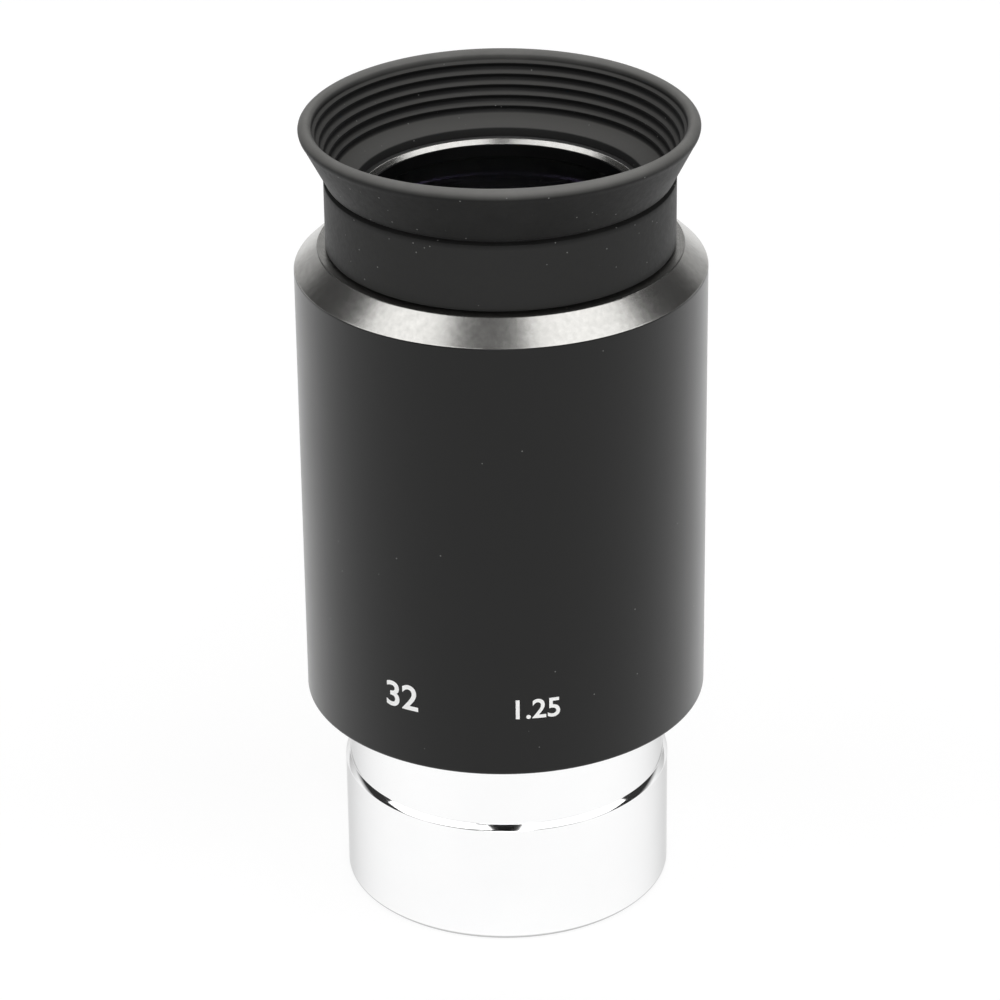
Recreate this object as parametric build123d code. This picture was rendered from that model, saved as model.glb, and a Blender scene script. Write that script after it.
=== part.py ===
from build123d import *
import os
from math import copysign, sqrt

# Telescope eyepiece: four-element symmetrical type (two cemented doublets), 1.25 inch nose.
# Millimetres. +Z points to the eye. The origin is the centre of the nose barrel's lower face.
# Nearly every piece is turned on a lathe, so each is an outline of (radius, height) points
# spun around Z. A third value in a point, where there is one, is the round of that corner.

# ---- Nose barrel: chromed tube that slides into the telescope's focuser ----
barrel_radius = 15.875          # half of 31.75 mm, the 1.25 inch standard
barrel_length = 20.5            # lower face to housing
barrel_wall = 1.625             # down to the filter thread, M28.5 x 0.6, drawn as a plain wall
barrel_edge = 0.3               # chamfer on the lower edges
undercut_start = 12.2           # height where the safety undercut begins
undercut_depth = 0.45
undercut_bevel = 0.55           # height of the sloped shoulder that a set screw rides on
filter_thread_length = 4.0
filter_thread_depth = 0.2       # thread wall to the plain bore above it

# ---- Screw joint between barrel and housing ----
barrel_shoulder = 0.425         # step of the barrel that stops against the housing
spigot_length = 6.0
spigot_lead_in = 0.3
thread_clearance = 0.05         # radial, on every thread that is drawn plain
thread_run_out = 1.0            # thread length in the housing beyond the spigot's end

# ---- Field stop: ring in the top of the barrel, at the focal plane ----
stop_seat_width = 0.25          # step in the bore that it sits on
stop_reach = 0.55               # how far its edge stands into the barrel's bore
stop_height = 1.8
stop_recess = 0.2               # how far it sits below the spigot's end
stop_land = 0.3                 # height of its thin inner edge
stop_flare = 0.4                # how much wider its lower side opens
stop_slot_depth = 0.6

# ---- Optics ----
lens_radius = 13.6
lens_clearance = 0.05
outer_curve = 110.0             # slightly hollow outer face of each flint
cement_curve = 27.0             # cemented face between flint and crown
inner_curve = 36.0              # bulging face of each crown, towards the other doublet
flint_thickness = 2.0           # on the axis
crown_edge = 1.2                # at the rim
cement_layer = 0.02
apex_gap = 0.6                  # air between the two crowns, on the axis
spacer_wall = 1.0
seat_gap = 0.01                 # left between glass and metal seats

# ---- Threaded ring that holds the lens stack up ----
retainer_step = 0.65            # lens bore to the ring's thread
retainer_reach = 0.7            # how far the ring reaches under the lens
retainer_height = 2.5
retainer_thread_above = 0.5     # thread cut a little past the ring, both ways
retainer_thread_below = 1.5
spanner_slot_width = 1.6
spanner_slot_depth = 1.2

# ---- Neck: carries the eyecup outside and holds the lens stack inside ----
neck_wall = 1.35                # outside the lens bore
neck_length = 5.35              # land to top face
neck_edge = 0.3
snap_groove_height = 1.8        # above the land
snap_groove_width = 1.4
snap_groove_depth = 0.5
eye_lip_reach = 0.8             # how far the lip that stops the lens stack reaches over it
eye_lip_thickness = 1.8
eye_bevel_width = 0.3           # bright-cut bevel round the eye opening
eye_bevel_depth = 0.55

# ---- Eyecup: black rubber, one moulding with a fold line ----
grip_gap = 0.02                 # rubber to neck
band_wall = 1.33                # lower band that grips the neck
band_round = 0.45
band_lift = 0.6                 # gap under the band, outside its foot
foot_wall = 0.58
flange_reach = 1.4              # inner flange that lies on the neck's top face
flange_thickness = 0.9
fold_rise = 1.8                 # fold line above the neck's top face
fold_depth = 0.37
fold_width = 0.5
fold_cut = 0.03                 # parting between the pieces of the moulding
flare_root_depth = 0.15         # skirt's outer face just above the fold line, to the band's
throat_inset = 0.82             # skirt's inner face at the throat, to the band's outer face
throat_rise = 0.43              # throat above the fold line
skirt_spread = 2.08             # how much the ribbed face opens from throat to lip
skirt_rise = 4.69
lip_wall = 1.25                 # lip's outer face to its inner corner
lip_overhang = 0.26             # lip's outer face to the skirt's outer face below it
lip_root_rise = 0.12            # foot of the lip above its parting from the skirt
lip_round = 0.42
lip_shoulder_drop = 0.45        # lip's outer corner below its crest
lip_crest_inset = 0.81          # lip's outer face to its crest
lip_crest_rise = 0.5            # crest above the lip's inner corner
rib_count = 5
rib_depth = 0.3

# ---- Housing: black turned body around all of this ----
housing_length = 44.1           # lower face to the start of the bright chamfer
housing_edge = 0.25             # round on the lower edge
rim_gap = 0.75                  # band of the eyecup to the chamfer's inner edge
chamfer_width = 2.25            # bright-cut chamfer at the top
chamfer_height = 2.15
recess_depth = 0.4              # sunk land around the neck
cavity_relief = 1.5             # bored out below the retaining ring's thread
cavity_shoulder = 0.8           # sloped ends of the cavity
glare_groove_pitch = 1.7        # grooves that kill stray light on the cavity wall
glare_groove_depth = 0.5
glare_groove_width = 0.9

# ---- Radii that follow from the sizes above ----
filter_thread_radius = barrel_radius - barrel_wall
barrel_bore_radius = filter_thread_radius - filter_thread_depth
undercut_radius = barrel_radius - undercut_depth
spigot_radius = undercut_radius - barrel_shoulder
stop_seat_radius = barrel_bore_radius + stop_seat_width
lens_bore_radius = lens_radius + lens_clearance
retainer_radius = lens_bore_radius + retainer_step
eye_opening_radius = lens_radius - eye_lip_reach
neck_radius = lens_bore_radius + neck_wall
grip_radius = neck_radius + grip_gap
band_radius = grip_radius + band_wall
fold_radius = band_radius - fold_depth
rim_radius = band_radius + rim_gap
housing_radius = rim_radius + chamfer_width
cavity_radius = retainer_radius + cavity_relief

# ---- Heights that follow from the sizes above ----
chamfer_start = barrel_length + housing_length
chamfer_top = chamfer_start + chamfer_height
land = chamfer_top - recess_depth
neck_top = land + neck_length
stack_top = neck_top - eye_lip_thickness
spigot_top = barrel_length + spigot_length
stop_base = spigot_top - stop_recess - stop_height
fold_height = neck_top + fold_rise


# ---- Turning ----
def turned(*outline):
    """Solid of revolution around Z from a closed outline of (radius, height[, round])."""
    points = [(point[0], point[1]) for point in outline]
    rounds = [point[2] if len(point) > 2 else 0 for point in outline]
    profile = FilletPolyline(*points, radius=rounds, close=True)
    return revolve(Plane.XZ * make_face(profile), Axis.Z)


def spanner_slots(outer_radius, depth, low):
    """Bar across a ring, to cut two slots for a spanner."""
    return Pos(0, 0, low + depth / 2) * Box(2.2 * outer_radius, spanner_slot_width, depth)


# ---- Optics ----
def sag(curve, radius):
    """How far a spherical face of that curve falls from its apex at a radius."""
    return curve - sqrt(curve**2 - radius**2)


def face_height(apex, curve, radius):
    """Height of a spherical face; a positive curve bulges up, a negative one down."""
    return apex - copysign(sag(abs(curve), radius), curve)


def lens(top_apex, top_curve, bottom_apex, bottom_curve):
    """Round lens between two spherical faces, given by their heights on the axis."""

    def surface(apex, curve):
        middle = lens_radius / 2
        return ThreePointArc(
            (0, apex),
            (middle, face_height(apex, curve, middle)),
            (lens_radius, face_height(apex, curve, lens_radius)),
        )

    top = surface(top_apex, top_curve)
    bottom = surface(bottom_apex, bottom_curve)
    rim = Line(top @ 1, bottom @ 1)
    axis = Line(top @ 0, bottom @ 0)
    return revolve(Plane.XZ * make_face([top, rim, bottom, axis]), Axis.Z)


flint_top = stack_top - seat_gap - sag(outer_curve, lens_radius)
flint_bottom = flint_top - flint_thickness
crown_top = flint_bottom - cement_layer
crown_rim = face_height(crown_top, cement_curve, lens_radius) - crown_edge
crown_bottom = crown_rim - sag(inner_curve, lens_radius)
stack_middle = crown_bottom - apex_gap / 2
stack_bottom = 2 * stack_middle - stack_top


def eye_flint():
    return lens(flint_top, -outer_curve, flint_bottom, cement_curve)


def eye_crown():
    return lens(crown_top, cement_curve, crown_bottom, -inner_curve)


def across_the_stack(piece):
    """The field doublet is the eye doublet turned over about the stack's middle."""
    return mirror(piece, about=Plane.XY.offset(stack_middle))


def lens_spacer():
    """Ring between the crowns; its inner corners touch their bulging faces."""
    inner = lens_radius - spacer_wall
    reach = apex_gap / 2 + sag(inner_curve, inner) - seat_gap
    low, high = stack_middle - reach, stack_middle + reach
    return turned((inner, low), (lens_radius, low), (lens_radius, high), (inner, high))


def retaining_ring():
    low, high = stack_bottom - retainer_height, stack_bottom
    inner = lens_radius - retainer_reach
    outer = retainer_radius - thread_clearance
    ring = turned((inner, low), (outer, low), (outer, high), (inner, high))
    return ring - spanner_slots(outer, spanner_slot_depth, low)


# ---- Metal body ----
def barrel():
    return turned(
        (filter_thread_radius + barrel_edge, 0),
        (barrel_radius - barrel_edge, 0),
        (barrel_radius, barrel_edge),
        (barrel_radius, undercut_start),
        (undercut_radius, undercut_start + undercut_bevel),
        (undercut_radius, barrel_length),
        (spigot_radius, barrel_length),
        (spigot_radius, spigot_top - spigot_lead_in),
        (spigot_radius - spigot_lead_in, spigot_top),
        (stop_seat_radius, spigot_top),
        (stop_seat_radius, stop_base),
        (barrel_bore_radius, stop_base),
        (barrel_bore_radius, filter_thread_length),
        (filter_thread_radius, filter_thread_length),
        (filter_thread_radius, barrel_edge),
    )


def field_stop():
    """Thin-edged ring; its spanner slots face up, the side it is screwed in from."""
    inner = barrel_bore_radius - stop_reach
    outer = stop_seat_radius - thread_clearance
    top = stop_base + stop_height
    ring = turned(
        (inner + stop_flare, stop_base),
        (outer, stop_base),
        (outer, top),
        (inner, top),
        (inner, top - stop_land),
    )
    return ring - spanner_slots(outer, stop_slot_depth, top - stop_slot_depth)


def glare_grooves(low, high):
    """V grooves along a stretch of the cavity wall, as many as fit, centred on it."""
    count = int((high - low - glare_groove_width) // glare_groove_pitch) + 1
    first = (low + high) / 2 - (count - 1) * glare_groove_pitch / 2
    half = glare_groove_width / 2
    inside = cavity_radius - glare_groove_depth
    groove = turned(
        (inside, first - half),
        (cavity_radius, first - half),
        (cavity_radius + glare_groove_depth, first),
        (cavity_radius, first + half),
        (inside, first + half),
    )
    return [Pos(0, 0, i * glare_groove_pitch) * groove for i in range(count)]


def housing():
    spigot_bore = spigot_radius + thread_clearance
    groove_low = land + snap_groove_height
    groove_high = groove_low + snap_groove_width
    groove_radius = neck_radius - snap_groove_depth
    groove_slope = snap_groove_depth / 2
    retainer_low = stack_bottom - retainer_height - retainer_thread_below
    retainer_high = stack_bottom + retainer_thread_above
    cavity_low = spigot_top + thread_run_out
    wall_low, wall_high = cavity_low + cavity_shoulder, retainer_low - cavity_shoulder
    body = turned(
        (spigot_bore, barrel_length),
        (housing_radius, barrel_length, housing_edge),
        (housing_radius, chamfer_start),
        (rim_radius, chamfer_top),
        (rim_radius - recess_depth, land),
        (neck_radius, land),
        (neck_radius, groove_low),
        (groove_radius, groove_low + groove_slope),
        (groove_radius, groove_high - groove_slope),
        (neck_radius, groove_high),
        (neck_radius, neck_top - neck_edge),
        (neck_radius - neck_edge, neck_top),
        (eye_opening_radius + eye_bevel_width, neck_top),
        (eye_opening_radius, neck_top - eye_bevel_depth),
        (eye_opening_radius, stack_top),
        (lens_bore_radius, stack_top),
        (lens_bore_radius, retainer_high),
        (retainer_radius, retainer_high),
        (retainer_radius, retainer_low),
        (cavity_radius, wall_high),
        (cavity_radius, wall_low),
        (spigot_bore, cavity_low),
    )
    return body - glare_grooves(wall_low, wall_high)


# ---- Eyecup ----
def along(start, end, share):
    """Point on the straight line between two (radius, height) points."""
    return tuple(a + share * (b - a) for a, b in zip(start, end))


def at_height(start, end, height):
    """Point at a height on the straight line through two (radius, height) points."""
    return along(start, end, (height - start[1]) / (end[1] - start[1]))


def bulged(point):
    """The ribs' line at that point, set back into the rubber by the ribs' depth."""
    return point[0] + rib_depth, point[1]


# The ribs stand on a straight line from throat to lip: crests on it, valleys behind it.
rib_line_low = (band_radius - throat_inset - rib_depth, fold_height + throat_rise)
rib_line_high = (rib_line_low[0] + skirt_spread, rib_line_low[1] + skirt_rise)
crests = [along(rib_line_low, rib_line_high, (i + 0.5) / rib_count) for i in range(rib_count)]
valleys = [bulged(along(rib_line_low, rib_line_high, i / rib_count)) for i in range(rib_count)]

# The moulding is parted at the fold line and at the highest valley, under the lip.
lip_parting = valleys[-1][1]
lip_radius = rib_line_high[0] + lip_wall
flange_top = (neck_radius - flange_reach, neck_top + grip_gap + flange_thickness)
flare_root = (band_radius - flare_root_depth, fold_height + fold_width / 2)
flare_end = (lip_radius - lip_overhang, lip_parting + lip_root_rise)


def eyecup_base():
    """Band around the neck, with a bead in its snap groove and a flange over its top."""
    bead_low = land + snap_groove_height + grip_gap
    bead_high = bead_low + snap_groove_width - 2 * grip_gap
    bead_radius = grip_radius - snap_groove_depth
    bead_slope = snap_groove_depth / 2
    band_low = land + band_lift
    flange_low = neck_top + grip_gap
    return turned(
        (grip_radius, land),
        (grip_radius + foot_wall, land),
        (grip_radius + foot_wall, band_low),
        (band_radius, band_low, band_round),
        (band_radius, fold_height - fold_width / 2),
        (fold_radius, fold_height),
        at_height(flange_top, valleys[0], fold_height),
        flange_top,
        (flange_top[0], flange_low),
        (grip_radius - neck_edge, flange_low),
        (grip_radius, flange_low - neck_edge),
        (grip_radius, bead_high),
        (bead_radius, bead_high - bead_slope),
        (bead_radius, bead_low + bead_slope),
        (grip_radius, bead_low),
    )


def eyecup_flare():
    """Ribbed skirt between the fold line and the lip."""
    low = fold_height + fold_cut
    high = lip_parting - fold_cut
    zigzag = [point for pair in zip(valleys, crests) for point in pair][:-2]
    return turned(
        at_height(flange_top, valleys[0], low),
        (fold_radius, low),
        flare_root,
        at_height(flare_root, flare_end, high),
        at_height(crests[-2], valleys[-1], high),
        *reversed(zigzag),
    )


def eyecup_lip():
    """Rolled rim, with the highest rib on its inner face."""
    crest_height = rib_line_high[1] + lip_crest_rise
    return turned(
        at_height(flare_root, flare_end, lip_parting),
        flare_end,
        (lip_radius, flare_end[1] + lip_round, lip_round / 2),
        (lip_radius, crest_height - lip_shoulder_drop, lip_round),
        (lip_radius - lip_crest_inset, crest_height, lip_round),
        (*rib_line_high, lip_round / 4),
        crests[-1],
        valleys[-1],
    )


# ---- One file per piece ----
nodes = {
    "barrel": barrel(),
    "field_stop": field_stop(),
    "housing": housing(),
    "eye_flint": eye_flint(),
    "eye_crown": eye_crown(),
    "lens_spacer": lens_spacer(),
    "field_crown": across_the_stack(eye_crown()),
    "field_flint": across_the_stack(eye_flint()),
    "retaining_ring": retaining_ring(),
    "eyecup_base": eyecup_base(),
    "eyecup_flare": eyecup_flare(),
    "eyecup_lip": eyecup_lip(),
}

os.makedirs("parts", exist_ok=True)
for name, piece in nodes.items():
    export_step(piece, f"parts/{name}.step")
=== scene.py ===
# %% [markdown]
# # A telescope eyepiece, dressed for its portrait
#
# This lesson dresses a small astronomy eyepiece: a black turned housing, a rubber eyecup that
# folds down, a chromed nose that slides into the telescope, and four lenses inside. The CAD
# model gives the sizes and the motion. Here each piece gets a finer mesh and a finish of its own.
#
# Nearly everything is turned on a lathe, so it is a drawing of half the piece, spun around one
# axis. Most of this lesson is that one idea, `bmesh.ops.spin`, used on one outline after another.

# %% Load the frame
import math

import bmesh
import bpy
from mathutils import Matrix, Vector


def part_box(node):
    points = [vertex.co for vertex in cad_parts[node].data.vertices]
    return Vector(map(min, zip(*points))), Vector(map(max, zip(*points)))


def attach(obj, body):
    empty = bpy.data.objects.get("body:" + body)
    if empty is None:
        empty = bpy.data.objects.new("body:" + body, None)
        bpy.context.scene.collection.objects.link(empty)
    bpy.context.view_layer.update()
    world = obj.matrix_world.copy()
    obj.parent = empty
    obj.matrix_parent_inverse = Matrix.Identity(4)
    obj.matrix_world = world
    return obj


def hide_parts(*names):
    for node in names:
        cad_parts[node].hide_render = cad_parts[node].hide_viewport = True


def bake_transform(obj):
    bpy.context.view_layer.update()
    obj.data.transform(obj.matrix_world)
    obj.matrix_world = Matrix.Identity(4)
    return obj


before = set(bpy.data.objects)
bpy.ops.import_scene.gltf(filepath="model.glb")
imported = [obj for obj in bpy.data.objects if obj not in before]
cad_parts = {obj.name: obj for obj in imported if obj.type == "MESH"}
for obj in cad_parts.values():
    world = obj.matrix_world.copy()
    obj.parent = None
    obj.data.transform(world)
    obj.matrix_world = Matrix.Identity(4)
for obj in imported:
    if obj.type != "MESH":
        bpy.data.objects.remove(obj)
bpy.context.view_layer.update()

# %% [markdown]
# An eyepiece is measured in millimetres and Blender works in metres, so every drawing is made in
# millimetres and scaled down once, when its piece is finished. The sizes that other sizes hang
# on are read from the boxes of the CAD nodes, so the two models can't drift apart.

# %% Units and the sizes of the CAD pieces
MM = 0.001
TURN = 2 * math.pi


def node_radius(node):
    low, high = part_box(node)
    return (high[0] - low[0]) / 2 / MM


def node_low(node):
    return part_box(node)[0][2] / MM


def node_high(node):
    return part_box(node)[1][2] / MM


barrel_radius = node_radius("barrel")
housing_radius = node_radius("housing")
housing_base = node_low("housing")
spigot_top = node_high("barrel")
neck_top = node_high("housing")
lens_radius = node_radius("eye_flint")
lip_radius = node_radius("eyecup_lip")
print("housing radius, mm:", round(housing_radius, 3))
print("housing from", round(housing_base, 2), "to", round(neck_top, 2), "mm above the floor")

# %% [markdown]
# The camera stands a little over 40 cm away and looks down at the eyepiece by 27 degrees,
# through a long lens. It is made from three directions: where it looks, its right and its up.

# %% Camera
camera_distance = 412.7
camera_elevation = math.radians(26.96)
camera_aim_height = 39.7
camera_side = -0.367
camera_roll = math.radians(-0.694)

forward = Vector((0, math.cos(camera_elevation), -math.sin(camera_elevation)))
right = Vector((1, 0, 0))
up = right.cross(forward)
rolled_right = math.cos(camera_roll) * right + math.sin(camera_roll) * up
rolled_up = math.cos(camera_roll) * up - math.sin(camera_roll) * right
place = Vector((camera_side, 0, camera_aim_height)) - camera_distance * forward

scene = bpy.context.scene
camera_data = bpy.data.cameras.new("portrait_camera")
camera_data.lens = 154.83
camera_data.sensor_width = 36
camera_data.clip_start = 0.01
camera = bpy.data.objects.new("portrait_camera", camera_data)
camera_rows = [[rolled_right[i], rolled_up[i], -forward[i], place[i] * MM] for i in range(3)]
camera.matrix_world = Matrix(camera_rows + [[0, 0, 0, 1]])
scene.collection.objects.link(camera)
scene.camera = camera
print("camera stands at, mm:", [round(v) for v in place])

# %% [markdown]
# ## Finishes
#
# A finish is a Principled shader fed by a few small patterns. All patterns read Object
# coordinates, so they stay fixed to the metal. A short set of helpers keeps each finish
# readable: one adds a node, one gives noise, one turns a number into a range, one makes a bump.

# %% Helpers for node materials
def new_finish(name, **fixed):
    """A material, its nodes, and its shader with the values that are the same all over."""
    finish = bpy.data.materials.new(name)
    finish.use_nodes = True
    tree = finish.node_tree
    shader = tree.nodes["Principled BSDF"]
    for socket, value in fixed.items():
        shader.inputs[socket.replace("_", " ")].default_value = value
    return finish, tree, shader


def add(tree, kind, feed=None, **settings):
    """One node. settings are its properties, and feed gives its inputs a value or a link."""
    node = tree.nodes.new(kind)
    for key, value in settings.items():
        setattr(node, key, value)
    for key, value in (feed or {}).items():
        if isinstance(value, bpy.types.NodeSocket):
            tree.links.new(value, node.inputs[key])
        else:
            node.inputs[key].default_value = value
    return node


def surface_place(tree):
    return add(tree, "ShaderNodeTexCoord").outputs["Object"]


def noise(tree, place, grain_mm, detail=2.0):
    """Noise between 0 and 1 whose spots are about grain_mm across."""
    feed = {"Vector": place, "Scale": 1 / (grain_mm * MM), "Detail": detail}
    return add(tree, "ShaderNodeTexNoise", feed).outputs["Fac"]


def spread(tree, value, low, high, start=0.2, stop=0.8):
    """A number that runs from low to high while value runs from start to stop."""
    feed = {"Value": value, "From Min": start, "From Max": stop, "To Min": low, "To Max": high}
    return add(tree, "ShaderNodeMapRange", feed).outputs["Result"]


def across(tree, length, limits_mm, low=0.0, high=1.0):
    """The same for a length: it runs from low to high between two limits in millimetres."""
    return spread(tree, length, low, high, limits_mm[0] * MM, limits_mm[1] * MM)


def blend_colours(tree, share, first, second):
    node = add(tree, "ShaderNodeMix", data_type="RGBA")
    tree.links.new(share, node.inputs[0])
    for socket, colour in ((node.inputs[6], first), (node.inputs[7], second)):
        if isinstance(colour, bpy.types.NodeSocket):
            tree.links.new(colour, socket)
        else:
            socket.default_value = (*colour, 1)
    return node.outputs[2]


def bump(tree, height, depth_mm, strength=1.0, below=None):
    feed = {"Height": height, "Distance": depth_mm * MM, "Strength": strength}
    if below is not None:
        feed["Normal"] = below
    return add(tree, "ShaderNodeBump", feed).outputs["Normal"]


def combine(tree, operation, first, second):
    return add(tree, "ShaderNodeMath", {0: first, 1: second}, operation=operation).outputs[0]


# %% [markdown]
# A lathe tool leaves fine rings: they run all the way round, so the pattern may change with the
# distance from the axis and with the height, but hardly along the way round. `turned_place`
# builds such coordinates, and any noise read from them comes out as rings.
#
# Dust is the opposite: a few lonely specks. A Voronoi texture scatters points in space, and only
# where the surface passes very near one of them does a speck show.

# %% Turned marks and dust
def radius_of(tree, parts):
    """Distance from the axis, from the separated coordinates."""
    flat = add(tree, "ShaderNodeCombineXYZ", {0: parts[0], 1: parts[1]}).outputs[0]
    return add(tree, "ShaderNodeVectorMath", {0: flat}, operation="LENGTH").outputs["Value"]


def turned_place(tree, place, drift=0.02):
    """Coordinates for turned marks: distance from the axis, a slow drift, and height."""
    parts = add(tree, "ShaderNodeSeparateXYZ", {0: place}).outputs
    along = combine(tree, "MULTIPLY", combine(tree, "ADD", parts[0], parts[1]), drift)
    away = radius_of(tree, parts)
    return add(tree, "ShaderNodeCombineXYZ", {0: away, 1: along, 2: parts[2]}).outputs[0]


def specks(tree, place, apart_mm, size_mm):
    """1 on a few specks of about size_mm, 0 elsewhere."""
    feed = {"Vector": place, "Scale": 1 / (apart_mm * MM)}
    distance = add(tree, "ShaderNodeTexVoronoi", feed).outputs["Distance"]
    edge = size_mm / apart_mm / 2
    return spread(tree, distance, 1.0, 0.0, 0.6 * edge, edge)


# %% [markdown]
# Black anodised aluminium is a thin dyed layer on turned metal. It is satin: nearly black seen
# square on, and paler where the eye grazes it. So the shader is a dark plastic-like surface with
# a low specular level, fine turned rings in the bump, and a roughness that wanders a little.

# %% Black anodised finish
satin_black, tree, shader = new_finish(
    "satin_black_anodising", Specular_IOR_Level=0.27, Sheen_Weight=0.52, Sheen_Roughness=0.4
)
place = surface_place(tree)
rings = noise(tree, turned_place(tree, place), 0.12, 3)
cloud = noise(tree, place, 9.0, 3)
grain = noise(tree, place, 0.18, 2)
dust = specks(tree, place, 2.4, 0.16)
dyed = blend_colours(tree, cloud, (0.0012, 0.0012, 0.0012), (0.0026, 0.0026, 0.0023))
dusted = blend_colours(tree, dust, dyed, (0.16, 0.16, 0.155))
tree.links.new(dusted, shader.inputs["Base Color"])
tree.links.new(spread(tree, cloud, 0.31, 0.37), shader.inputs["Roughness"])
fine = bump(tree, grain, 0.003, 0.5)
tree.links.new(bump(tree, rings, 0.004, 0.6, fine), shader.inputs["Normal"])
print("finish:", satin_black.name, len(tree.nodes), "nodes")

# %% [markdown]
# After anodising, the top chamfer and the edge of the eye opening are cut once more, which bares
# the metal. It has a fine blasted grain and a soft sheen, brighter and darker in small clouds.
# The roughness hardly changes from cloud to cloud, because on metal a wide swing in roughness
# shows as islands with hard borders.

# %% Bright-cut finish
bright_cut, tree, shader = new_finish("bright_cut", Metallic=1.0)
place = surface_place(tree)
cut_rings = noise(tree, turned_place(tree, place, 0.05), 0.09, 3)
blasted = noise(tree, place, 0.3, 1)
patches = noise(tree, place, 0.55, 4)
bare = blend_colours(tree, patches, (0.49, 0.483, 0.464), (0.70, 0.693, 0.67))
tree.links.new(bare, shader.inputs["Base Color"])
tree.links.new(spread(tree, patches, 0.24, 0.268, 0.0, 1.0), shader.inputs["Roughness"])
lines = bump(tree, cut_rings, 0.002, 0.4)
tree.links.new(bump(tree, blasted, 0.002, 0.6, lines), shader.inputs["Normal"])
print("finish:", bright_cut.name, len(tree.nodes), "nodes")

# %% [markdown]
# The nose is polished and chromed. Chrome is a mirror, so it mostly shows the pale floor. What
# makes it look real are polishing lines, too fine to see one by one, and faint handling marks.
# On a metal the specular tint is the colour near the outline: a little grey there rounds the
# tube. The lowest edge is painted one thin grey line, painted shade where it meets the floor.

# %% Chrome finish
chrome_plate, tree, shader = new_finish(
    "chrome_plate", Metallic=1.0, Specular_Tint=(0.7, 0.7, 0.7, 1.0)
)
place = surface_place(tree)
polish = noise(tree, turned_place(tree, place, 0.01), 0.16, 4)
handling = noise(tree, place, 5.0, 4)
plated = blend_colours(tree, handling, (0.95, 0.952, 0.955), (0.985, 0.985, 0.985))
# Painted shade: the lowest half millimetre is painted grey where the tube stands on the floor.
contact_shade_band = (0.34, 0.46)
edge_height = add(tree, "ShaderNodeSeparateXYZ", {0: place}).outputs[2]
contact_shade = across(tree, edge_height, contact_shade_band, 1.0, 0.0)
plated = blend_colours(tree, contact_shade, plated, (0.55, 0.55, 0.55))
tree.links.new(plated, shader.inputs["Base Color"])
tree.links.new(spread(tree, handling, 0.05, 0.11), shader.inputs["Roughness"])
tree.links.new(bump(tree, polish, 0.0015, 0.35), shader.inputs["Normal"])
print("finish:", chrome_plate.name, len(tree.nodes), "nodes")

# %% [markdown]
# Inside, everything that isn't glass is painted dead black, so that stray light dies there. The
# paint is rough and slightly grainy, and thinner in clouds, where a little metal greys it.

# %% Blackened metal finish
baffle_black, tree, shader = new_finish("baffle_black", Specular_IOR_Level=0.08)
place = surface_place(tree)
paint_grain = noise(tree, place, 0.15, 3)
thin_paint = noise(tree, place, 3.0, 3)
painted = blend_colours(tree, thin_paint, (0.0015, 0.0015, 0.0015), (0.005, 0.005, 0.0052))
tree.links.new(painted, shader.inputs["Base Color"])
tree.links.new(spread(tree, paint_grain, 0.62, 0.8), shader.inputs["Roughness"])
tree.links.new(bump(tree, paint_grain, 0.01, 0.6), shader.inputs["Normal"])
print("finish:", baffle_black.name, len(tree.nodes), "nodes")

# %% [markdown]
# The eyecup is moulded rubber. Rubber is never quite one black: a pale bloom comes and goes over
# it, the mould leaves a leathery grain, and lint clings to it. The band under the fold is gripped
# most often and is a little greyer than the skirt.
#
# Fine dust settles where the rubber looks up, on the lip and on the ribs, and the same paler
# colour is also painted top light: faces that look up are painted lighter. The Normal output of
# Texture Coordinate is the way a face looks in the piece's own axes, so it says where the paler
# colour goes. Its dot product with the way out from the axis finds the bottoms of the grooves
# between the ribs, which look straight inwards: they get no dust and are painted darker, as
# painted shade. The worn colour of the lip follows the rim, which stands higher in front; it is
# partly wear and partly a painted highlight.

# %% Black rubber: patterns and zones, in mm
within_band = (15.7, 15.8)
skirt_start = (74.0, 74.4)
band_end = (72.9, 73.3)
shaded_groove_look = (-14.4, -13.8)
rim_start = (78.3, 79.0)
rim_tilt = 0.018

moulded_rubber, tree, shader = new_finish(
    "moulded_rubber", Specular_IOR_Level=0.12, Sheen_Weight=0.06, Sheen_Roughness=0.35
)
place = surface_place(tree)
bloom = noise(tree, place, 3.5, 4)
mould_grain = noise(tree, place, 0.16, 3)
pores = noise(tree, place, 0.5, 3)
lint = specks(tree, place, 1.25, 0.17)
parts = add(tree, "ShaderNodeSeparateXYZ", {0: place}).outputs
facing = add(tree, "ShaderNodeTexCoord").outputs["Normal"]
print("rubber patterns:", len(tree.nodes), "nodes so far")

# %% Black rubber: clean colour and painted groove shade
bloomed = spread(tree, bloom, 0.0, 1.0)
clean = blend_colours(tree, bloomed, (0.009, 0.009, 0.0088), (0.0145, 0.0145, 0.0142))
on_band = across(tree, parts[2], band_end, 1.0, 0.0)
clean = blend_colours(tree, on_band, clean, (0.024, 0.024, 0.0236))
outwards = add(tree, "ShaderNodeCombineXYZ", {0: parts[0], 1: parts[1]}).outputs[0]
dot = add(tree, "ShaderNodeVectorMath", {0: facing, 1: outwards}, operation="DOT_PRODUCT")
painted_groove_shade = across(tree, dot.outputs["Value"], shaded_groove_look, 1.0, 0.0)
# Painted shade: groove bottoms, which look inwards, are painted darker.
clean = blend_colours(tree, painted_groove_shade, clean, (0.008, 0.008, 0.008))
print("rubber with its clean colour:", len(tree.nodes), "nodes")
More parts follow.
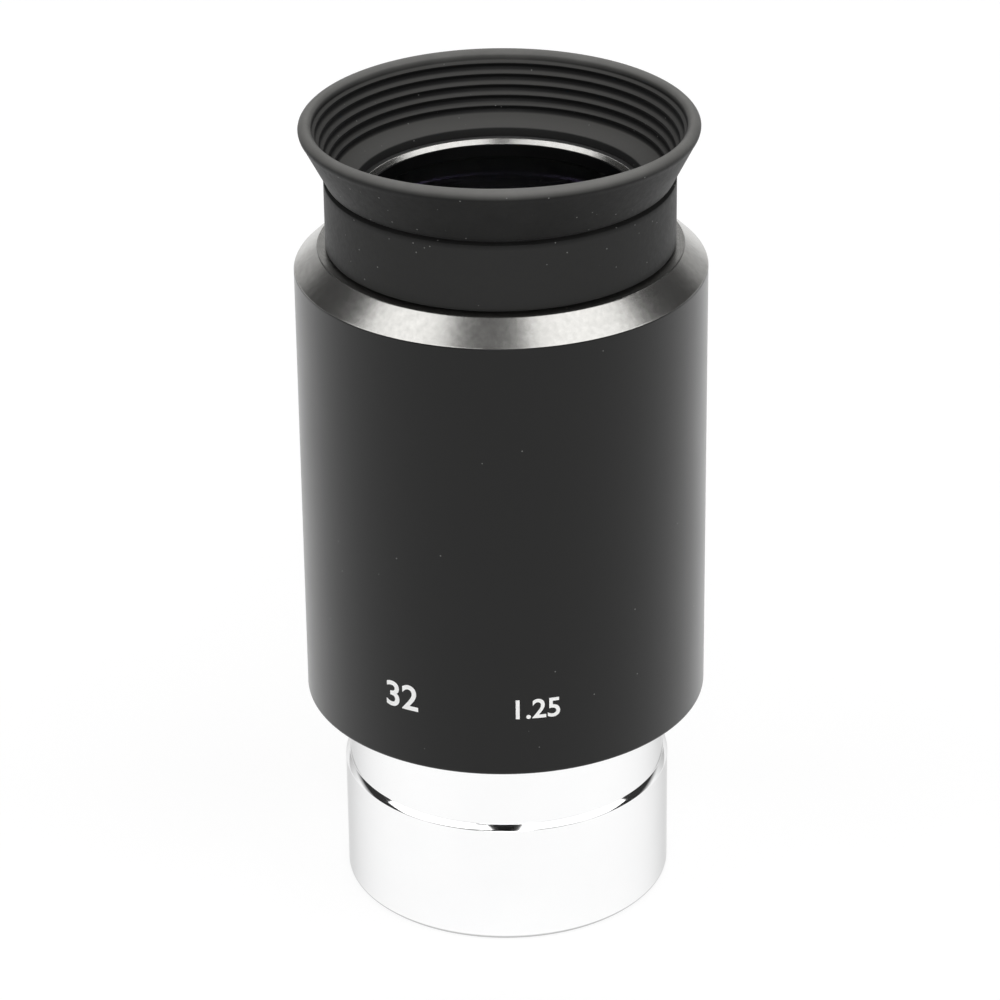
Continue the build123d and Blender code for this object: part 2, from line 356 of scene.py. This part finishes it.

# %% Black rubber: dust and painted top light, wear and painted highlight, grain
upward = add(tree, "ShaderNodeSeparateXYZ", {0: facing}).outputs[2]
inner_foot = across(tree, radius_of(tree, parts), within_band, 1.0, 0.0)
on_skirt = across(tree, parts[2], skirt_start)
open_to_dust_and_light = combine(tree, "MAXIMUM", inner_foot, on_skirt)
# Partly dust, partly painted top light: faces that look up are painted paler, inside and on the
# skirt only.
dust_and_top_light = combine(tree, "MULTIPLY", spread(tree, upward, 0.0, 0.68, 0.35, 1.0), open_to_dust_and_light)
dusty_and_toplit = blend_colours(tree, dust_and_top_light, clean, (0.13, 0.128, 0.123))
level = combine(tree, "ADD", parts[2], combine(tree, "MULTIPLY", parts[1], rim_tilt))
# Partly wear, partly a painted highlight along the top of the lip's rim.
lip_wear_and_highlight = across(tree, level, rim_start)
worn_and_highlit = combine(tree, "MULTIPLY", lip_wear_and_highlight, spread(tree, bloom, 0.6, 1.0))
dusty_and_toplit = blend_colours(tree, worn_and_highlit, dusty_and_toplit, (0.20, 0.198, 0.19))
linty = blend_colours(tree, lint, dusty_and_toplit, (0.16, 0.16, 0.155))
tree.links.new(linty, shader.inputs["Base Color"])
tree.links.new(spread(tree, pores, 0.44, 0.56), shader.inputs["Roughness"])
fine = bump(tree, mould_grain, 0.012, 0.6)
tree.links.new(bump(tree, pores, 0.02, 0.4, fine), shader.inputs["Normal"])
print("finish:", moulded_rubber.name, len(tree.nodes), "nodes")

# %% [markdown]
# Each lens face has an anti-reflection layer a quarter of a wavelength thick. The shader has a
# thin film for that, thick enough for light that comes in at a slant: it takes most of the
# reflection away, so the eye opening looks black. The ground edge of a lens is inked black.

# %% Glass, ink and print
bloomed_glass, tree, shader = new_finish(
    "bloomed_glass",
    Transmission_Weight=1.0,
    IOR=1.6,
    Thin_Film_Thickness=157.0,
    Thin_Film_IOR=1.25,
)
place = surface_place(tree)
wiped = noise(tree, place, 2.5, 3)
tree.links.new(spread(tree, wiped, 0.0, 0.012), shader.inputs["Roughness"])
tint = blend_colours(tree, wiped, (0.985, 0.99, 0.985), (1.0, 1.0, 1.0))
tree.links.new(tint, shader.inputs["Base Color"])

lens_ink, tree, shader = new_finish("lens_ink", Specular_IOR_Level=0.3)
place = surface_place(tree)
brushed = noise(tree, place, 0.3, 3)
inked = blend_colours(tree, brushed, (0.004, 0.004, 0.004), (0.014, 0.014, 0.014))
tree.links.new(inked, shader.inputs["Base Color"])
tree.links.new(spread(tree, brushed, 0.55, 0.75), shader.inputs["Roughness"])

print_white, tree, shader = new_finish("print_white", Specular_IOR_Level=0.3)
place = surface_place(tree)
screened = noise(tree, place, 0.12, 3)
film_thickness = spread(tree, screened, 0.0, 1.0)
pigment = blend_colours(tree, film_thickness, (0.95, 0.95, 0.94), (1.0, 1.0, 0.99))
tree.links.new(pigment, shader.inputs["Base Color"])
tree.links.new(spread(tree, screened, 0.45, 0.6), shader.inputs["Roughness"])
print("finishes:", bloomed_glass.name, lens_ink.name, print_white.name)

# %% [markdown]
# ## The lathe
#
# An outline is a list of corners, each a radius, a height and the size of its rounding. The
# corners become vertices of a wire in the plane of the x and z axes, a vertex bevel rounds them,
# and a full spin makes the solid. `use_merge` closes the last step onto the first.
#
# A curve modifier such as Screw would do the same, but the operator leaves a plain mesh that can
# be edited afterwards, which the eyecup and the threads need.
#
# Smooth shading averages the directions of neighbouring faces, so a flat face between two
# roundings would look slightly domed, and a mirror shows that at once. `hold_flats` puts two
# support corners near the ends of each long line: the narrow strips that they make take up the
# averaging, and the face between them is shaded flat.
#
# Faces have to look outwards. `recalc_face_normals` makes them agree with each other, but on a
# long thin helix it can pick the wrong side, so a piece of negative volume is turned inside out.

# %% Lathe helpers
STEPS = 192


def draw_outline(outline):
    """A closed wire through the corners (radius, height, rounding), in the xz plane."""
    work = bmesh.new()
    corners = [work.verts.new((corner[0], 0, corner[1])) for corner in outline]
    ends = corners[1:] + corners[:1]
    for start, end in zip(corners, ends):
        work.edges.new((start, end))
    sizes = [corner[2] if len(corner) > 2 else 0 for corner in outline]
    for size in sorted(set(sizes) - {0}):
        rounded = [vert for vert, own in zip(corners, sizes) if own == size]
        bmesh.ops.bevel(
            work,
            geom=rounded,
            offset=size,
            offset_type="OFFSET",
            affect="VERTICES",
            segments=2 if size < 0.09 else 4,
            profile=0.5,
            material=-1,
        )
    return work


def hold_flats(work, margin=0.05):
    """Two more corners on each long line, near its ends, so that its face is shaded flat."""
    for line in [edge for edge in work.edges if edge.calc_length() > 8 * margin]:
        near, far = line.verts
        corner = bmesh.utils.edge_split(line, near, margin / line.calc_length())[1]
        rest = next(edge for edge in corner.link_edges if far in edge.verts)
        bmesh.utils.edge_split(rest, far, margin / rest.calc_length())
    return work


def spin_outline(work, steps=STEPS, angle=TURN, rise=0.0):
    """Spin the wire around the z axis. A rise makes a screw thread of it."""
    full = not rise and abs(angle - TURN) < 1e-6
    bmesh.ops.spin(
        work,
        geom=work.verts[:] + work.edges[:],
        cent=(0, 0, 0),
        axis=(0, 0, 1),
        dvec=(0, 0, rise / steps),
        angle=angle,
        steps=steps,
        use_merge=full,
        use_duplicate=False,
    )
    bmesh.ops.remove_doubles(work, verts=work.verts, dist=1e-4)
    return work


def finish_piece(work, name, finishes, body, stands_for=(), sharp=32):
    """Close the bench work: outward faces, metres, a mesh object, its finishes and its body."""
    bmesh.ops.recalc_face_normals(work, faces=work.faces)
    if work.calc_volume(signed=True) < 0:
        bmesh.ops.reverse_faces(work, faces=work.faces)
    bmesh.ops.scale(work, vec=(MM, MM, MM), verts=work.verts)
    open_edges = sum(1 for edge in work.edges if not edge.is_manifold)
    mesh = bpy.data.meshes.new(name)
    work.to_mesh(mesh)
    work.free()
    for finish in finishes:
        mesh.materials.append(finish)
    mesh.shade_smooth()
    mesh.set_sharp_from_angle(angle=math.radians(sharp))
    piece = bpy.data.objects.new(name, mesh)
    scene.collection.objects.link(piece)
    if body:
        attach(piece, body)
    if stands_for:
        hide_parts(*stands_for)
    print(name, "has", len(mesh.polygons), "faces,", open_edges, "open edges")
    return piece


def paint(piece, slot_index, chosen):
    """Give a finish to the faces whose middle (radius, height, slope) is chosen."""
    count = 0
    for face in piece.data.polygons:
        middle = face.center / MM
        slope = face.normal.z
        if chosen(math.hypot(middle.x, middle.y), middle.z, slope):
            face.material_index = slot_index
            count += 1
    print(piece.name, ":", count, "faces get", piece.data.materials[slot_index].name)


# %% [markdown]
# ## Housing
#
# One turned aluminium body: a long black wall, a wide bright chamfer, a flat land and a neck
# that the eyecup grips. Inside are the lens bore, the thread of the retaining ring, a wide
# cavity with V grooves against stray light, and the bore that takes the barrel's spigot.

# %% Housing outline
chamfer_start = 64.6
chamfer_top = 66.75
rim_radius = 17.1
land = 66.72
neck_radius = 15.0
snap_low = 68.15
snap_high = 69.55
snap_depth = 0.5
eye_opening = 12.8
stack_top = neck_top - 1.8
lens_bore = lens_radius + 0.05
retainer_radius = 14.3
retainer_low = node_low("retaining_ring") - 1.5
retainer_high = node_high("retaining_ring") + 0.5
cavity_radius = 15.8
cavity_low = spigot_top + 1.8
cavity_high = retainer_low - 0.8
spigot_bore = 15.05


def glare_grooves(count=9, pitch=1.7, depth=0.5, width=0.9):
    """Corners of the V grooves on the cavity wall, from the top down."""
    middle = (cavity_low + cavity_high) / 2
    corners = []
    for number in range(count):
        height = middle + (count - 1) * pitch / 2 - number * pitch
        corners.append((cavity_radius, height + width / 2, 0.04))
        corners.append((cavity_radius + depth, height, 0.04))
        corners.append((cavity_radius, height - width / 2, 0.04))
    return corners


housing_outline = [
    (spigot_bore + 0.3, housing_base, 0.05),
    (housing_radius, housing_base, 0.25),
    (housing_radius, chamfer_start, 0.1),
    (rim_radius, chamfer_top, 0.07),
    (rim_radius - 0.06, land),
    (neck_radius, land, 0.05),
    (neck_radius, snap_low, 0.03),
    (neck_radius - snap_depth, snap_low + snap_depth / 2, 0.03),
    (neck_radius - snap_depth, snap_high - snap_depth / 2, 0.03),
    (neck_radius, snap_high, 0.03),
    (neck_radius, neck_top - 0.3, 0.05),
    (neck_radius - 0.3, neck_top, 0.05),
    (eye_opening + 0.3, neck_top, 0.04),
    (eye_opening, neck_top - 0.48, 0.04),
    (eye_opening, stack_top, 0.06),
    (lens_bore, stack_top),
    (lens_bore, retainer_high, 0.04),
    (retainer_radius, retainer_high),
    (retainer_radius, retainer_low),
    (cavity_radius, cavity_high, 0.05),
    *glare_grooves(),
    (cavity_radius, cavity_low, 0.05),
    (spigot_bore, spigot_top + 1.0, 0.05),
    (spigot_bore, housing_base + 0.3, 0.05),
]
print("housing outline:", len(housing_outline), "corners")

# %% Turn the housing and paint its bright and inner faces
housing = finish_piece(
    spin_outline(hold_flats(draw_outline(housing_outline))),
    "housing_body",
    [satin_black, bright_cut, baffle_black],
    "housing",
    stands_for=["housing"],
)
bright_foot = chamfer_start + 0.05
bright_edge = neck_radius + 0.1
bevel_foot = neck_top - 0.45
bevel_edge = eye_opening + 0.33
bore_top = neck_top - 0.6
bore_edge = 14.4
cavity_foot = housing_base + 0.5
cavity_edge = 16.4
cavity_ceiling = 50.0
paint(housing, 1, lambda radius, height, slope: radius > bright_edge and height > bright_foot)
paint(housing, 1, lambda radius, height, slope: radius < bevel_edge and height > bevel_foot)
paint(
    housing, 2,
    lambda radius, height, slope: radius < bore_edge and height < bore_top and slope < 0.9,
)
paint(
    housing, 2,
    lambda radius, height, slope: radius < cavity_edge and cavity_foot < height < cavity_ceiling,
)

# %% [markdown]
# ## Nose barrel
#
# The chromed tube that slides into the telescope. Its undercut is a safety groove: the screw of
# the focuser catches its sloped shoulder, so the eyepiece can't drop out. Polishing has rounded
# the shoulder a little, so it has a third corner in its middle with a wide rounding. The lower
# edge is threaded inside for filters, and the black spigot on top screws into the housing.

# %% Barrel outline
edge_break = 0.3
undercut_radius = barrel_radius - 0.45
shoulder_start = 12.2
shoulder_middle = (barrel_radius - 0.2, 12.496)
shoulder_end = 12.75
seat_gap = 0.02
spigot_core = 14.72
barrel_bore = 14.05
filter_wall = 14.25
filter_depth = 4.0
stop_seat = 14.3
stop_shelf = node_low("field_stop") - 0.01

barrel_outline = [
    (filter_wall + edge_break, 0, 0.05),
    (barrel_radius - edge_break, 0, 0.08),
    (barrel_radius, edge_break, 0.08),
    (barrel_radius, shoulder_start, 0.02),
    (*shoulder_middle, 0.3),
    (undercut_radius, shoulder_end, 0.02),
    (undercut_radius, housing_base - seat_gap, 0.05),
    (spigot_core, housing_base - seat_gap, 0.05),
    (spigot_core, spigot_top - edge_break, 0.05),
    (spigot_core - 0.15, spigot_top, 0.04),
    (stop_seat, spigot_top, 0.04),
    (stop_seat, stop_shelf),
    (barrel_bore, stop_shelf),
    (barrel_bore, filter_depth, 0.04),
    (filter_wall, filter_depth, 0.04),
    (filter_wall, edge_break, 0.04),
]
print("barrel outline:", len(barrel_outline), "corners")

# %% Turn the barrel and blacken its bore
barrel = finish_piece(
    spin_outline(hold_flats(draw_outline(barrel_outline))),
    "nose_barrel",
    [chrome_plate, baffle_black],
    "barrel",
    stands_for=["barrel"],
)
black_edge = 15.2
black_foot = filter_depth + 0.05
paint(barrel, 1, lambda radius, height, slope: radius < black_edge and height > black_foot)

# %% [markdown]
# ## Screw threads
#
# A thread is the same spin with a rise: a small triangle goes round and up at the same time.
# The drawing is closed, its two ends are capped, and the first and last third of a turn sink
# into the wall, as a real thread runs out. A turn of the barrel lowers it by one pitch, and the
# thread follows itself, so it fits at every angle of the joint.

# %% Thread helper
THREAD_STEPS = 96


def cut_thread(name, root, crest, pitch, low, turns, finish, body):
    """A thread ridge from root to crest radius, turns long, starting at height low."""
    outward = 1 if crest > root else -1
    foot = root - 0.08 * outward
    half = 0.46 * pitch
    flat = 0.07 * pitch
    ridge = [(foot, low - half), (foot, low + half), (crest, low + flat), (crest, low - flat)]
    work = draw_outline(ridge)
    steps = round(THREAD_STEPS * turns)
    spin_outline(work, steps=steps, angle=TURN * turns, rise=pitch * turns)
    rims = [edge for edge in work.edges if len(edge.link_faces) == 1]
    bmesh.ops.holes_fill(work, edges=rims, sides=4)
    for vert in work.verts:
        radius = math.hypot(vert.co.x, vert.co.y)
        if (radius - root) * outward > 0:
            beside = (vert.co.z - low) / pitch
            share = min(1.0, max(0.0, 3 * min(beside, turns - beside)))
            new_radius = foot + (radius - foot) * share
            vert.co.x *= new_radius / radius
            vert.co.y *= new_radius / radius
    finish_piece(work, name, [finish], body)
    print(name, ":", turns, "turns of", pitch, "mm")


# %% Threads of the spigot, the housing and the filter end
screw_pitch = 0.75
screw_start = housing_base + 0.5
cut_thread(
    "spigot_thread", root=spigot_core, crest=15.0, pitch=screw_pitch, low=screw_start,
    turns=7.0, finish=baffle_black, body="barrel",
)
cut_thread(
    "housing_thread", root=spigot_bore, crest=14.79, pitch=screw_pitch,
    low=screw_start + screw_pitch / 2, turns=8.0,
    finish=baffle_black, body="housing",
)
cut_thread(
    "filter_thread", root=filter_wall, crest=13.97, pitch=0.6, low=0.75,
    turns=5.2, finish=chrome_plate, body="barrel",
)

# %% [markdown]
# ## Lenses
#
# Two cemented pairs, mirrored about the middle of the stack. A lens face is part of a sphere, so
# its drawing is an arc: one vertex on the axis, spun a little around the sphere's centre.
# Two such arcs and the rim between them are then spun once more around the axis.

# %% Lens helper
def lens_face(work, apex, curve):
    """Arc from the axis to the rim. A positive curve bulges up, a negative one down."""
    start = work.verts.new((0, 0, apex))
    reach = math.asin(lens_radius / abs(curve))
    made = bmesh.ops.spin(
        work,
        geom=[start],
        cent=(0, 0, apex - curve),
        axis=(0, math.copysign(1, curve), 0),
        dvec=(0, 0, 0),
        angle=reach,
        steps=14,
        use_merge=False,
        use_duplicate=False,
    )
    return next(part for part in made["geom_last"] if isinstance(part, bmesh.types.BMVert))


def grind_lens(name, node, top_apex, top_curve, bottom_apex, bottom_curve, turned_over=None):
    """A lens between two spherical faces, or its mirror image about a height."""
    work = bmesh.new()
    top_rim = lens_face(work, top_apex, top_curve)
    bottom_rim = lens_face(work, bottom_apex, bottom_curve)
    work.edges.new((top_rim, bottom_rim))
    if turned_over is not None:
        for vert in work.verts:
            vert.co.z = 2 * turned_over - vert.co.z
    spin_outline(work, steps=128)
    bmesh.ops.dissolve_degenerate(work, dist=1e-5, edges=work.edges)
    lens = finish_piece(work, name, [bloomed_glass, lens_ink], "housing", [node])
    ink_edge = lens_radius - 0.05
    paint(lens, 1, lambda radius, height, slope: radius > ink_edge and abs(slope) < 0.1)
    cad_height = node_high(node) - node_low(node)
    print(name, "CAD height", round(cad_height, 3), "mm, here", round(lens.dimensions.z / MM, 3))


# %% Four lenses
eye_top = 69.046
eye_cement = 67.046
cement_gap = 0.02
crown_top = eye_cement - cement_gap
crown_bottom = node_low("eye_crown")
stack_middle = 59.183
outer_curve = -110.0
cement_curve = 27.0
inner_curve = -36.0
for stem, mirror_height in (("eye", None), ("field", stack_middle)):
    flint, crown = stem + "_flint", stem + "_crown"
    grind_lens(
        flint + "_lens", flint, eye_top, outer_curve, eye_cement, cement_curve, mirror_height
    )
    grind_lens(
        crown + "_lens", crown, crown_top, cement_curve, crown_bottom, inner_curve, mirror_height
    )

# %% [markdown]
# The spacer between the lens pairs, the ring that holds them and the field stop are right as
# the CAD draws them, slots and all. They keep their meshes and get the blackened finish.

# %% Finish of the CAD pieces that stay
for node in ("lens_spacer", "retaining_ring", "field_stop"):
    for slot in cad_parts[node].material_slots:
        slot.material = baffle_black
print("kept CAD pieces: lens_spacer, retaining_ring, field_stop")

# %% [markdown]
# ## Eyecup
#
# One rubber moulding: a band round the neck, a fold line, and a skirt that opens to a soft lip.
# Inside the skirt are rounded ribs. The drawing follows the CAD, with rounder corners, because
# moulded rubber has no sharp ones.

# %% Eyecup sizes and ribs
fit_gap = 0.02
grip_radius = neck_radius + fit_gap
foot_radius = 15.6
foot_height = 0.2
band_radius = 16.35
fold_height = neck_top + 1.8
fold_radius = 15.8
flare_root = (16.2, fold_height + 0.25)
flare_end = (18.3, 77.80)
lip_corner = (17.31, 78.62)
throat = (15.23, fold_height - 0.07)
flange_radius = 13.6
flange_top = neck_top + 0.92
lip_crest = 79.12
rib_count = 5
rib_depth = 0.24
first_rib = 0.147
rib_spacing = 0.18
# Each row is a step in rib spacings, a set-out from the slope and a rounding.
rib_profile = [
    (0.17, rib_depth, 0.12),
    (-0.07, 0.0, 0.07),
    (-0.13, 0.0, 0.07),
    (-0.42, rib_depth, 0.12),
]


def rib_corners():
    """Rib after rib from the lip down to the throat: a narrow crest and the groove under it."""
    spread_out = lip_corner[0] - throat[0]
    rise = lip_corner[1] - throat[1]
    corners = []
    for number in reversed(range(rib_count)):
        for step, set_out, rounding in rib_profile:
            share = first_rib + rib_spacing * (number + step)
            radius = throat[0] + share * spread_out + set_out
            corners.append((radius, throat[1] + share * rise, rounding))
    return corners


print("eyecup:", rib_count, "ribs, each with", len(rib_profile), "corners")

# %% Eyecup outline
eyecup_outline = [
    (grip_radius, land + fit_gap, 0.05),
    (foot_radius, land + fit_gap, 0.08),
    (foot_radius, land + foot_height, 0.05),
    (band_radius, land + foot_height, 0.22),
    (band_radius, fold_height - 0.12, 0.08),
    (fold_radius, fold_height - 0.02, 0.05),
    (fold_radius, fold_height + 0.06, 0.05),
    (*flare_root, 0.08),
    (*flare_end, 0.12),
    (lip_radius, flare_end[1] + 0.42, 0.2),
    (lip_radius, lip_crest - 0.45, 0.4),
    (lip_radius - 0.81, lip_crest, 0.36),
    (*lip_corner, 0.12),
    *rib_corners(),
    (throat[0] + rib_depth - 0.02, throat[1] - 0.02, 0.1),
    (flange_radius, flange_top, 0.12),
    (flange_radius, neck_top + fit_gap, 0.06),
    (grip_radius - 0.3, neck_top + fit_gap, 0.05),
    (grip_radius, neck_top - 0.28, 0.05),
    (grip_radius, snap_high - fit_gap, 0.03),
    (grip_radius - snap_depth, snap_high - snap_depth / 2, 0.03),
    (grip_radius - snap_depth, snap_low + snap_depth / 2, 0.03),
    (grip_radius, snap_low + fit_gap, 0.03),
]
print("eyecup outline:", len(eyecup_outline), "corners")

# %% [markdown]
# Rubber takes a set. The front of the lip stands half a millimetre higher than the back, and
# nothing about it is perfectly round, so the skirt is lifted and waved very slightly. The lift
# grows from nothing at the fold line to its full size at the lip.

# %% Rubber takes a set
front_lift = 0.5
uneven_lift = 0.05
uneven_width = 0.0022


def settle_rubber(work):
    """Lift the front of the skirt and wave it, more and more from the fold line to the lip."""
    for vert in work.verts:
        radius = math.hypot(vert.co.x, vert.co.y)
        share = min(1.0, max(0.0, (vert.co.z - fold_height) / (lip_crest - fold_height)))
        facing = -vert.co.y / radius
        turn = math.atan2(vert.co.x, -vert.co.y)
        lift = front_lift * max(0.0, facing) ** 2 + uneven_lift * math.sin(2 * turn + 0.6)
        vert.co.z += lift * share
        wave = 1 + uneven_width * share * math.sin(3 * turn + 1.1)
        vert.co.x *= wave
        vert.co.y *= wave


print("front of the lip is lifted by", front_lift, "mm")

# %% Turn the eyecup
eyecup_work = spin_outline(draw_outline(eyecup_outline), steps=256)
long_sides = [
    edge for edge in eyecup_work.edges
    if edge.calc_length() > 1.0 and abs(edge.verts[0].co.z - edge.verts[1].co.z) > 1.0
]
bmesh.ops.subdivide_edges(eyecup_work, edges=long_sides, cuts=11, use_grid_fill=True)
settle_rubber(eyecup_work)
eyecup = finish_piece(
    eyecup_work, "eyecup", [moulded_rubber], None,
    ["eyecup_base", "eyecup_flare", "eyecup_lip"], sharp=45,
)
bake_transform(eyecup)

# %% [markdown]
# ## Numbers on the housing
#
# Screen printing lies on the metal as a film of paint. The numbers are a text curve with a
# little thickness, made a mesh, sliced into narrow upright strips, and bent round the housing.
# Corners closer than 0.012 mm are merged first, because a slice through such a short edge can
# leave a hole.

# %% Print numbers
DIGIT_SHARE = 0.69
STROKE_GAIN = 0.021
STRIP = 0.25
FILM = 0.02


def print_number(name, text, digit_height, left_angle, base_height):
    """Plain digits, bent round the housing, starting left_angle degrees from the front."""
    curve = bpy.data.curves.new(name, "FONT")
    curve.body = text
    curve.size = digit_height / DIGIT_SHARE
    curve.extrude = 0.5
    curve.resolution_u = 8
    curve.offset = STROKE_GAIN * digit_height
    source = bpy.data.objects.new(name, curve)
    scene.collection.objects.link(source)
    bpy.context.view_layer.update()
    flat = bpy.data.meshes.new_from_object(source)
    bpy.data.objects.remove(source)
    work = bmesh.new()
    work.from_mesh(flat)
    bpy.data.meshes.remove(flat)
    bmesh.ops.remove_doubles(work, verts=work.verts, dist=0.012)
    width = max(vert.co.x for vert in work.verts)
    for cut in range(1, int(width / STRIP) + 1):
        bmesh.ops.bisect_plane(
            work, geom=work.verts[:] + work.edges[:] + work.faces[:],
            plane_co=(cut * STRIP, 0, 0), plane_no=(1, 0, 0), dist=1e-5,
        )
    bmesh.ops.triangulate(work, faces=[face for face in work.faces if len(face.verts) > 4])
    for vert in work.verts:
        angle = math.radians(left_angle) + vert.co.x / housing_radius
        radius = housing_radius + (FILM if vert.co.z > 0 else -FILM)
        height = base_height + vert.co.y
        vert.co = (radius * math.sin(angle), -radius * math.cos(angle), height)
    finish_piece(work, name, [print_white], "housing", sharp=40)
    print(name, ":", text, "is", round(width, 2), "mm wide")


print_number("print_left", "32", 2.54, -36.0, 26.45)
print_number("print_middle", "1.25", 1.95, 1.0, 26.6)

# %% [markdown]
# ## Floor, lamps and world
#
# Shiny metal is only as good as what it mirrors, so the lamps are placed by how they look in the
# metal. Flat lamps hang like ceiling panels over a pale floor: a wide one on each side, one
# behind and one in front. The chamfer mirrors the two wide ones, with the dark gap between them
# at its middle. A small lamp narrows that gap as the barrel's shoulder sees it. Their edges are
# written as slopes, metres sideways for each metre upwards, because what a mirror shows of a
# lamp is a direction, however high the lamp hangs.
#
# The room is a world: white near the horizon, dark above it and a little grey at the top. The
# walls in front and behind are darker, and a pale patch straight behind lights the far side of
# the rims. All other rays get one soft grey, so that the room hardly adds to the lamps.

# %% Floor
def seen_directly(tree):
    """1 for rays from the camera, in a mirror or through glass, and 0 for other light."""
    ray = add(tree, "ShaderNodeLightPath").outputs
    mirrored = combine(tree, "ADD", ray["Is Glossy Ray"], ray["Is Transmission Ray"])
    both = add(tree, "ShaderNodeMath", {0: ray["Is Camera Ray"], 1: mirrored}, operation="ADD")
    both.use_clamp = True
    return both.outputs[0]


floor_paint = bpy.data.materials.new("floor_paint")
floor_paint.use_nodes = True
tree = floor_paint.node_tree
tree.nodes.clear()
lit = add(tree, "ShaderNodeBsdfDiffuse", {"Color": (0.7, 0.7, 0.7, 1)})
shaded = add(tree, "ShaderNodeBsdfDiffuse", {"Color": (0.24, 0.24, 0.24, 1)})
glow = add(tree, "ShaderNodeEmission", {"Color": (1, 1, 1, 1), "Strength": 0.81})
pale = add(tree, "ShaderNodeAddShader", {0: shaded.outputs[0], 1: glow.outputs[0]})
direct = seen_directly(tree)
mix = add(tree, "ShaderNodeMixShader", {0: direct, 1: lit.outputs[0], 2: pale.outputs[0]})
add(tree, "ShaderNodeOutputMaterial", {"Surface": mix.outputs[0]})

floor_radius = 4000
floor_work = bmesh.new()
bmesh.ops.create_circle(floor_work, cap_ends=True, segments=96, radius=floor_radius)
floor = finish_piece(floor_work, "floor", [floor_paint], None)

# %% Lamps
LAMP_HEIGHT = 0.75
MIRROR_HEIGHT = 0.06


def ceiling_lamp(name, left, right, front, back, level):
    """A lamp facing down. Its edges are slopes: metres sideways for each metre above the metal."""
    light = bpy.data.lights.new(name, "AREA")
    light.shape = "RECTANGLE"
    light.size = (right - left) * LAMP_HEIGHT
    light.size_y = (back - front) * LAMP_HEIGHT
    light.energy = level * light.size * light.size_y
    lamp = bpy.data.objects.new(name, light)
    lamp.location = (
        (left + right) / 2 * LAMP_HEIGHT,
        (front + back) / 2 * LAMP_HEIGHT,
        LAMP_HEIGHT + MIRROR_HEIGHT,
    )
    scene.collection.objects.link(lamp)
    print(name, ":", round(light.size, 2), "by", round(light.size_y, 2), "m")


ceiling_lamp("lamp_left", left=-2.15, right=-0.38, front=-1.25, back=0.14, level=4.6)
ceiling_lamp("lamp_fill", left=-0.38, right=-0.24, front=-1.25, back=-0.75, level=4.6)
ceiling_lamp("lamp_right", left=0.18, right=2.15, front=-1.42, back=0.10, level=4.6)
ceiling_lamp("lamp_back", left=-0.6, right=0.6, front=0.4, back=1.3, level=5.5)
ceiling_lamp("lamp_front", left=-0.8, right=0.8, front=-3.6, back=-2.0, level=28.0)

# %% World
scene.view_settings.view_transform = "Standard"
world = bpy.data.worlds.new("studio")
scene.world = world
world.use_nodes = True
tree = world.node_tree
background = tree.nodes["Background"]
direction = add(tree, "ShaderNodeTexCoord").outputs["Generated"]
ahead, height = add(tree, "ShaderNodeSeparateXYZ", {0: direction}).outputs[1:3]
front_wall = spread(tree, ahead, 0.1, 1.0, -0.7, -0.3)
far_wall = spread(tree, ahead, 1.0, 0.5, 0.45, 0.8)
walls = combine(tree, "MULTIPLY", front_wall, far_wall)
room = add(tree, "ShaderNodeValToRGB", {"Fac": height})
room.color_ramp.elements[0].position = 0.18
room.color_ramp.elements[0].color = (1, 1, 1, 1)
room.color_ramp.elements[1].position = 1.0
room.color_ramp.elements[1].color = (0.12, 0.12, 0.12, 1)
for position, level in ((0.29, 0.03), (0.7, 0.03)):
    stop = room.color_ramp.elements.new(position)
    stop.color = (level, level, level, 1)
shaded_room = combine(tree, "MULTIPLY", room.outputs["Color"], walls)
pale_patch = spread(tree, ahead, 0.0, 0.3, 0.78, 0.88)
mirrored = combine(tree, "MAXIMUM", shaded_room, pale_patch)
soft_light = (0.15, 0.15, 0.15)
seen = blend_colours(tree, seen_directly(tree), soft_light, mirrored)
tree.links.new(seen, background.inputs["Color"])
print("world:", world.name, len(tree.nodes), "nodes")
